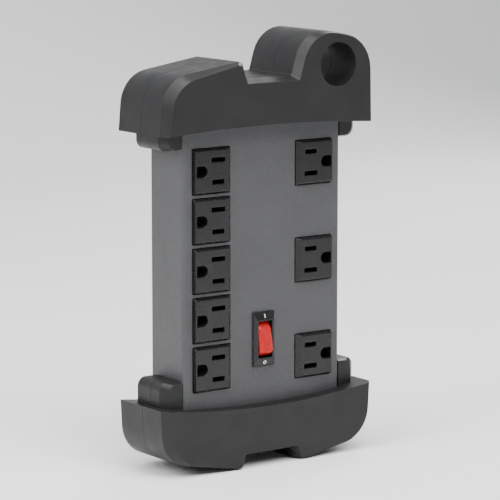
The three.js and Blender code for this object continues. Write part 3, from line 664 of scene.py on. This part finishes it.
def make_strap():
    """A hook-and-loop strap round the bundle."""
    radius, steps, across = STRAP["radius"], STRAP["per_corner"], STRAP["across"]
    front, back = COIL["y"] + STRAP["front"] + radius, COIL["y"] + STRAP["back"] - radius
    low, high = STRAP["low"] + radius, STRAP["high"] - radius
    line = []
    for y, z, end in ((back, high, 90), (front, high, 180), (front, low, 270), (back, low, 360)):
        for k in range(steps + 1):
            a = math.radians(end - 90 + 90 * k / steps)
            line.append((y + radius * math.cos(a), z + radius * math.sin(a)))
    xs = [COIL["x"] + STRAP["half"] * (2 * k / across - 1) for k in range(across + 1)]
    shape = bmesh.new()
    rows = [[shape.verts.new((x * MM, y * MM, z * MM)) for x in xs] for y, z in line]
    net(shape, rows + rows[:1])
    piece = finished("cord_strap", shape)
    thickened(piece, STRAP["thick"])
    rounded_edges(piece, "strap")
    return dress(piece, "strap_fabric", stands_for=("cord_tie",))


def make_strap_end():
    """The strap's free end, pressed onto its own back and curling up slightly at its tip."""
    front, back, rows = COIL["y"] + STRAP_END["front"], COIL["y"] + STRAP_END["back"], STRAP_END["rows"]
    xs = [COIL["x"] + STRAP_END["half"] * side for side in (-1, -0.5, 0, 0.5, 1)]
    line = []
    for k in range(rows + 1):
        curl = STRAP_END["curl"] * smooth(CURL_FROM, CURL_TO, k / rows)
        line.append((front + (back - front) * k / rows, STRAP_END["z"] + curl))
    shape = bmesh.new()
    net(shape, [[shape.verts.new((x * MM, y * MM, z * MM)) for x in xs] for y, z in line])
    piece = finished("strap_end", shape)
    thickened(piece, STRAP_END["thick"])
    rounded_edges(piece, "strap")
    return dress(piece, "strap_fabric")


cord, relief, plug_pieces = make_cord(), make_relief(), make_plug()
strap, strap_end = make_strap(), make_strap_end()

# ---------------------------------------------------------------- the strip


# The folded steel channel in mm, its two lips, and the back cover with its screw holes.
CHANNEL = {"half": 56, "front": -14, "back": 18, "low": 28, "high": 208, "sheet": 1.2, "bend": 1.7}
BEND_STEPS = 6
LIP = {"edge": 47, "front": 15, "back": 16.2}
COVER = {"half": 54.5, "low": 28.3, "high": 207.7, "front": 16.5, "back": 17.7}
COVER_HOLE_X, COVER_HOLE_ZS, COVER_HOLE_R = 51, (68, 166), 1.7
STUD_X, STUD_Z = 14, 45
STUD_PROFILE = [(0, -13.6), (2, -13.6), (2, -6.3), (1.7, -6), (0, -6)]
# The two columns of outlets: side and rows, counted from the middle one up.
COLUMNS = {"left": (-1, (2, 1, 0, -1, -2)), "right": (1, (2, 0, -2))}
ROW_MID, ROW_PITCH, COLUMN_X = 117.2, 28.6, 36.4
OUTLET_HALF, WINDOW_GAP = 13, 0.3
SWITCH_Z, SWITCH_WINDOW = 73.25, (7.0, 15.5)
# Vertices of the CAD's caps closer than this in metres are one, and so are faces that turn by less.
SAME_VERTEX, SAME_FACE = 2e-6, math.radians(0.6)


def make_cap_half(name):
    """The CAD node's own shape, its flat faces joined up and its edges rounded."""
    shape = bmesh.new()
    shape.from_mesh(NODES[name].data)
    bmesh.ops.remove_doubles(shape, verts=shape.verts, dist=SAME_VERTEX)
    bmesh.ops.dissolve_limit(
        shape, angle_limit=SAME_FACE, verts=shape.verts, edges=shape.edges, use_dissolve_boundaries=False)
    piece = finished(f"{name}_shell", shape)
    rounded_edges(piece, "cap")
    dress(piece, "cap_plastic", stands_for=(name,))


def windows():
    """The rectangles cut from the front sheet: (x low, x high, z low, z high)."""
    half = OUTLET_HALF + WINDOW_GAP
    wide, high = SWITCH_WINDOW
    cuts = [(-wide, wide, SWITCH_Z - high, SWITCH_Z + high)]
    for sign, rows in COLUMNS.values():
        for row in rows:
            x, z = sign * COLUMN_X, ROW_MID + row * ROW_PITCH
            cuts.append((x - half, x + half, z - half, z + half))
    return cuts


def channel_path():
    """The sheet's middle line across the channel, from one back edge to the other, as (x, y)."""
    inset = CHANNEL["sheet"] / 2
    half, front, bend = CHANNEL["half"] - inset, CHANNEL["front"] + inset, CHANNEL["bend"]
    side = [(half, CHANNEL["back"])]
    for k in range(BEND_STEPS + 1):
        a = math.pi / 2 * k / BEND_STEPS
        side.append((half - bend + bend * math.cos(a), front + bend - bend * math.sin(a)))
    return side, [(-x, y) for x, y in reversed(side)]


def make_channel():
    """The body: one sheet on a grid whose lines follow the windows, then given its thickness."""
    cuts = windows()
    right, left = channel_path()
    xs = sorted({x for cut in cuts for x in cut[:2]}, reverse=True)
    zs = sorted({CHANNEL["low"], CHANNEL["high"], *(z for cut in cuts for z in cut[2:])})
    across = right + [(x, right[-1][1]) for x in xs] + left
    shape = bmesh.new()
    grid = [[shape.verts.new((x * MM, y * MM, z * MM)) for x, y in across] for z in zs]
    for j in range(len(zs) - 1):
        for i in range(len(across) - 1):
            x, z = (across[i][0] + across[i + 1][0]) / 2, (zs[j] + zs[j + 1]) / 2
            flat = across[i][1] == across[i + 1][1]
            if flat and any(c[0] < x < c[1] and c[2] < z < c[3] for c in cuts):
                continue
            shape.faces.new((grid[j][i], grid[j][i + 1], grid[j + 1][i + 1], grid[j + 1][i]))
    loose = [v for v in shape.verts if not v.link_faces]
    bmesh.ops.delete(shape, geom=loose, context="VERTS")
    piece = finished("steel_body", shape)
    thickened(piece, CHANNEL["sheet"]).use_even_offset = True
    rounded_edges(piece, "body")
    dress(piece, "body_steel", stands_for=("body_shell",))


def make_ground_stud():
    """The body's ground stud, behind the sheet under the ring terminal and its nut."""
    stud = turned("steel_stud", STUD_PROFILE, steps=32)
    stud.data.transform(Matrix.Translation((STUD_X * MM, 0, STUD_Z * MM)))
    smooth_by_angle(stud, angle=30)
    dress(stud, "body_steel")


def drilled_sheet(name, outline, front, back, holes, kind):
    """A steel sheet between two y, with the cover screws' holes right through it."""
    shape = bmesh.new()
    front_edges, back_edges = [], []
    for loop in [outline] + [circle(COVER_HOLE_R, x=x, z=z) for x, z in holes]:
        near, near_edges = loop_of(shape, loop, front)
        far, far_edges = loop_of(shape, loop, back)
        wall(shape, near, far)
        front_edges += near_edges
        back_edges += far_edges
    fill(shape, front_edges)
    fill(shape, back_edges)
    piece = finished(name, shape)
    rounded_edges(piece, kind)
    return piece


def make_back():
    """The cover, and the body's two lips that it is screwed to."""
    holes = [(side * COVER_HOLE_X, z) for side in (-1, 1) for z in COVER_HOLE_ZS]
    outline = rectangle(-COVER["half"], COVER["half"], COVER["low"], COVER["high"])
    cover = drilled_sheet("steel_back", outline, COVER["front"], COVER["back"], holes, "cover")
    dress(cover, "body_steel", stands_for=("back_cover",))
    for name, side in (("left", -1), ("right", 1)):
        inner, outer = sorted((side * LIP["edge"], side * (CHANNEL["half"] - CHANNEL["sheet"])))
        outline = rectangle(inner, outer, CHANNEL["low"], CHANNEL["high"])
        own = [hole for hole in holes if hole[0] * side > 0]
        lip = drilled_sheet(f"steel_lip_{name}", outline, LIP["front"], LIP["back"], own, "lip")
        dress(lip, "body_steel")


# An outlet in mm, drawn for the left column: where its faces are, and how far its flanks lean in.
FACE = {"front": -16.5, "foot": -14.3, "back": -6}
LEAN = {"left": 0.6, "right": 3.0, "ends": 1.1}
# Its flange behind the sheet as (growth in x, growth in z, y), its blade slots and its ground hole.
FLANGE = ((0, 0, -12.5), (1.4, 1, -12.5), (1.4, 1, -11), (0, 0, -11))
SLOTS = ((3.3, 6.35, 9.4, 2.6), (3.3, -6.35, 8.3, 2.6))
GROUND = {"x": -7.45, "r": 3.25, "flat": -11.65, "steps": 16}


def outlet_holes():
    """The outlines of the two blade slots and of the ground hole, as (x, z)."""
    x, r, steps = GROUND["x"], GROUND["r"], GROUND["steps"]
    turns = [math.pi * (k / steps - 0.5) for k in range(steps + 1)]
    arc = [(x + r * math.cos(a), r * math.sin(a)) for a in turns]
    slots = [rectangle(x - w / 2, x + w / 2, z - h / 2, z + h / 2) for x, z, w, h in SLOTS]
    return slots + [[(GROUND["flat"], -r), *arc, (GROUND["flat"], r)]]


def outlet_mesh():
    """One outlet: leaning flanks, a flange behind the sheet, two blade slots and a D-shaped ground hole."""
    half = OUTLET_HALF
    lean = rectangle(-half + LEAN["left"], half - LEAN["right"], -half + LEAN["ends"], half - LEAN["ends"])
    shape = bmesh.new()
    front, front_edges = loop_of(shape, lean, FACE["front"])
    back, back_edges = loop_of(shape, rectangle(-half, half, -half, half), FACE["back"])
    for outline in outlet_holes():
        mouth, mouth_edges = loop_of(shape, outline, FACE["front"])
        inner, inner_edges = loop_of(shape, outline, FACE["back"])
        front_edges += mouth_edges
        back_edges += inner_edges
        wall(shape, mouth, inner)
    fill(shape, front_edges)
    fill(shape, back_edges)
    rings = [front]
    for grow_x, grow_z, y in ((0, 0, FACE["foot"]), *FLANGE):
        outline = rectangle(-half - grow_x, half + grow_x, -half - grow_z, half + grow_z)
        rings.append(loop_of(shape, outline, y)[0])
    for low, high in zip(rings, rings[1:] + [back]):
        wall(shape, low, high)
    return shape


def make_outlets():
    """Eight outlets, those of the right column turned half round."""
    for side, (sign, rows) in COLUMNS.items():
        turn = Matrix.Rotation(math.pi if sign > 0 else 0, 4, "Y")
        for k, row in enumerate(rows, 1):
            at = Matrix.Translation(Vector((sign * COLUMN_X, 0, ROW_MID + row * ROW_PITCH)) * MM)
            piece = finished(f"outlet_face_{side}_{k}", outlet_mesh(), at @ turn)
            rounded_edges(piece, "outlet")
            dress(piece, "outlet_plastic", stands_for=(f"outlet_{side}_{k}",))


# The rocker in mm, seen from the side about its pin: two end arcs in degrees, and its corners as (y, z).
PIVOT_Y, ROCKER_R, ROCKER_HALF, PIN_BORE = -11, 10.5, 4.65, 1.1
UPPER_ARC, LOWER_ARC = (-6, -1, 4, 9, 13), (134, 140, 146, 153, 160, 168, 176, 184)
FACE_CORNER, TAIL_CORNERS = (-5.6, 6.4), [(2.6, -3), (2.6, 3)]
# How wide its slanted sides are, how far they cut in, and where in y the cut begins and is whole.
SLANT_WIDE, SLANT_DEEP, SLANT_FROM, SLANT_FULL = 1.3, 1.0, 0.5, -2.5
# The bezel's rings as (half wide, half high, y), from its inner wall over its rim and down its flanks.
BEZEL = (
    (4.9, 10.75, -14.3), (4.9, 10.75, -16.8), (5.8, 11.65, -16.8), (7.55, 16.15, -15), (7.55, 16.15, -14.3),
)
# The marks stand on the bezel's sloping ends: a bar's half sizes, a ring's radii, and their place.
BAR, RING_RADII, RING_POINTS, MARK_RAISED = (0.24, 1.15), (1.15, 0.73), 32, 0.22
MARK_Y, MARK_OFFSET, MARK_SLOPE = -16.02, 13.7, math.atan2(1.8, 4.5)


def rocker_outline(inset):
    """The rocker's side view as (y, z), its front drawn in towards the pin by inset."""
    def on_arc(degrees):
        return -ROCKER_R * math.sin(math.radians(degrees)), ROCKER_R * math.cos(math.radians(degrees))

    points = []
    for y, z in [*map(on_arc, UPPER_ARC), FACE_CORNER, *map(on_arc, LOWER_ARC), *TAIL_CORNERS]:
        keep = 1 - inset * smooth(SLANT_FROM, SLANT_FULL, y) / math.hypot(y, z)
        points.append((y * keep, z * keep))
    return points


def loop_about_pin(shape, outline, x):
    """A closed loop at one x through (y, z) points about the rocker's pin."""
    verts = [shape.verts.new((x * MM, (PIVOT_Y + y) * MM, (SWITCH_Z + z) * MM)) for y, z in outline]
    return verts, [shape.edges.new((verts[k - 1], verts[k])) for k in range(len(verts))]


def make_rocker():
    """The rocker, the two long sides of its faces cut back at a slant, and bored for its pin."""
    shape = bmesh.new()
    slant = ROCKER_HALF - SLANT_WIDE
    stages = ((-ROCKER_HALF, SLANT_DEEP), (-slant, 0), (slant, 0), (ROCKER_HALF, SLANT_DEEP))
    loops = [loop_about_pin(shape, rocker_outline(inset), x) for x, inset in stages]
    for low, high in zip(loops, loops[1:]):
        wall(shape, low[0], high[0])
    bores = []
    for x, (ring, edges) in ((-ROCKER_HALF, loops[0]), (ROCKER_HALF, loops[-1])):
        bore, bore_edges = loop_about_pin(shape, [(y, z) for z, y in circle(PIN_BORE)], x)
        fill(shape, edges + bore_edges)
        bores.append(bore)
    wall(shape, *bores)
    piece = finished("switch_rocker", shape)
    rounded_edges(piece, "rocker")
    dress(piece, "rocker_red", ROCKER, stands_for=("breaker_rocker",))


def make_bezel():
    """A frame whose four flanks slope up to a narrow rim round the rocker's opening."""
    shape = bmesh.new()
    rings = [loop_of(shape, rectangle(-w, w, SWITCH_Z - h, SWITCH_Z + h), y)[0] for w, h, y in BEZEL]
    for low, high in zip(rings, rings[1:] + rings[:1]):
        wall(shape, low, high)
    piece = finished("switch_bezel", shape)
    rounded_edges(piece, "bezel")
    dress(piece, "outlet_plastic", stands_for=("breaker_bezel",))


def make_mark(name, shape, side):
    """A flat mark drawn about the origin, laid on the bezel's end on that side."""
    at = Matrix.Translation(Vector((0, MARK_Y, SWITCH_Z + side * MARK_OFFSET)) * MM)
    piece = finished(name, shape, at @ Matrix.Rotation(-side * MARK_SLOPE, 4, "X"))
    thickened(piece, MARK_RAISED)
    dress(piece, "marks")


def switch_marks():
    """A bar and a ring, for on and off, standing a hair proud of the bezel's sloping ends."""
    wide, high = BAR
    bar = bmesh.new()
    bar.faces.new(loop_of(bar, rectangle(-wide, wide, -high, high), 0)[0])
    make_mark("on_mark", bar, 1)
    ring = bmesh.new()
    wall(ring, *[loop_of(ring, circle(radius, RING_POINTS), 0)[0] for radius in RING_RADII])
    make_mark("off_mark", ring, -1)


# Screws, by their node's first word: head height and shank radius. The CAD gives all other sizes.
SCREWS = {"cover": (1.6, 1.4), "cap": (2.0, 1.5)}
HEAD_SHARE, TIP_LONG, TIP_SHARE, TIP_FLAT = 0.98, 1.6, 0.5, 0.3
# The dome as shares of the head's radius and height.
DOME = ((1, 0), (1, 0.35), (0.93, 0.62), (0.72, 0.86), (0.4, 1), (0, 1))
# The recess: its arms' length and width as shares of the head's radius, their depth and lift in mm,
# and how far their length and width taper at the bottom.
ARM_LONG, ARM_WIDE, ARM_DEEP, ARM_LIFT = 1.15, 0.24, 2.2, 0.25
ARM_TAPER = (0.45, 0.6)
TURN_EACH = 0.7


def cross_screw(radius, high, shank, long):
    """A pointed screw along Y with its domed head on y = 0, a cross recess cut into it."""
    point = [(0, -long), (shank * TIP_SHARE, TIP_FLAT - long), (shank, TIP_LONG - long), (shank, 0)]
    head = turned("head", point + [(radius * wide, high * rise) for wide, rise in DOME], steps=40)
    shape = bmesh.new()
    for turn in (0, math.pi / 2):
        arm = bmesh.ops.create_cube(shape, size=1)["verts"]
        size = (radius * ARM_LONG * MM, ARM_DEEP * MM, radius * ARM_WIDE * MM)
        bmesh.ops.scale(shape, vec=size, verts=arm)
        for vert in arm:
            if vert.co.y < 0:
                vert.co.x *= ARM_TAPER[0]
                vert.co.z *= ARM_TAPER[1]
        bmesh.ops.rotate(shape, matrix=Matrix.Rotation(turn, 3, "Y"), verts=arm)
        bmesh.ops.translate(shape, vec=(0, (high + ARM_LIFT) * MM, 0), verts=arm)
    bit = finished("bit", shape)
    recess = head.modifiers.new("recess", "BOOLEAN")
    recess.operation, recess.solver, recess.use_self = "DIFFERENCE", "EXACT", True
    recess.object = bit
    bpy.context.view_layer.update()
    mesh = bpy.data.meshes.new_from_object(head.evaluated_get(bpy.context.evaluated_depsgraph_get()))
    for spare in (head, bit):
        bpy.data.objects.remove(spare)
    return mesh


def make_screws():
    """A detailed screw in each CAD screw's place, its recess turned differently each time."""
    for node in [n for n in NODES if "_screw_" in n]:
        low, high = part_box(node)
        middle, radius = (low + high) / 2, (high.x - low.x) / 2 / MM
        kind, number = node.split("_screw_")
        head_high, shank = SCREWS[kind]
        seat = high.y / MM - head_high
        mesh = cross_screw(radius * HEAD_SHARE, head_high, shank, seat - low.y / MM)
        mesh.transform(Matrix.Rotation(int(number) * TURN_EACH, 4, "Y"))
        mesh.transform(Matrix.Translation((middle.x, seat * MM, middle.z)))
        piece = link(f"{kind}_fixing_{number}", mesh)
        smooth_by_angle(piece, angle=35)
        dress(piece, "zinc_steel", stands_for=(node,))


for half in ("front", "rear"):
    for end in ("top", "bottom"):
        make_cap_half(f"{end}_cap_{half}")
make_channel()
make_ground_stud()
make_back()
make_outlets()
make_bezel()
make_rocker()
switch_marks()
make_screws()

# The CAD nodes that nothing stands for are shown as they are, in their slot's finish.
for node, piece in NODES.items():
    if not piece.hide_render:
        piece.data.materials.clear()
        piece.data.materials.append(FINISHES[SLOT_OF[node]])
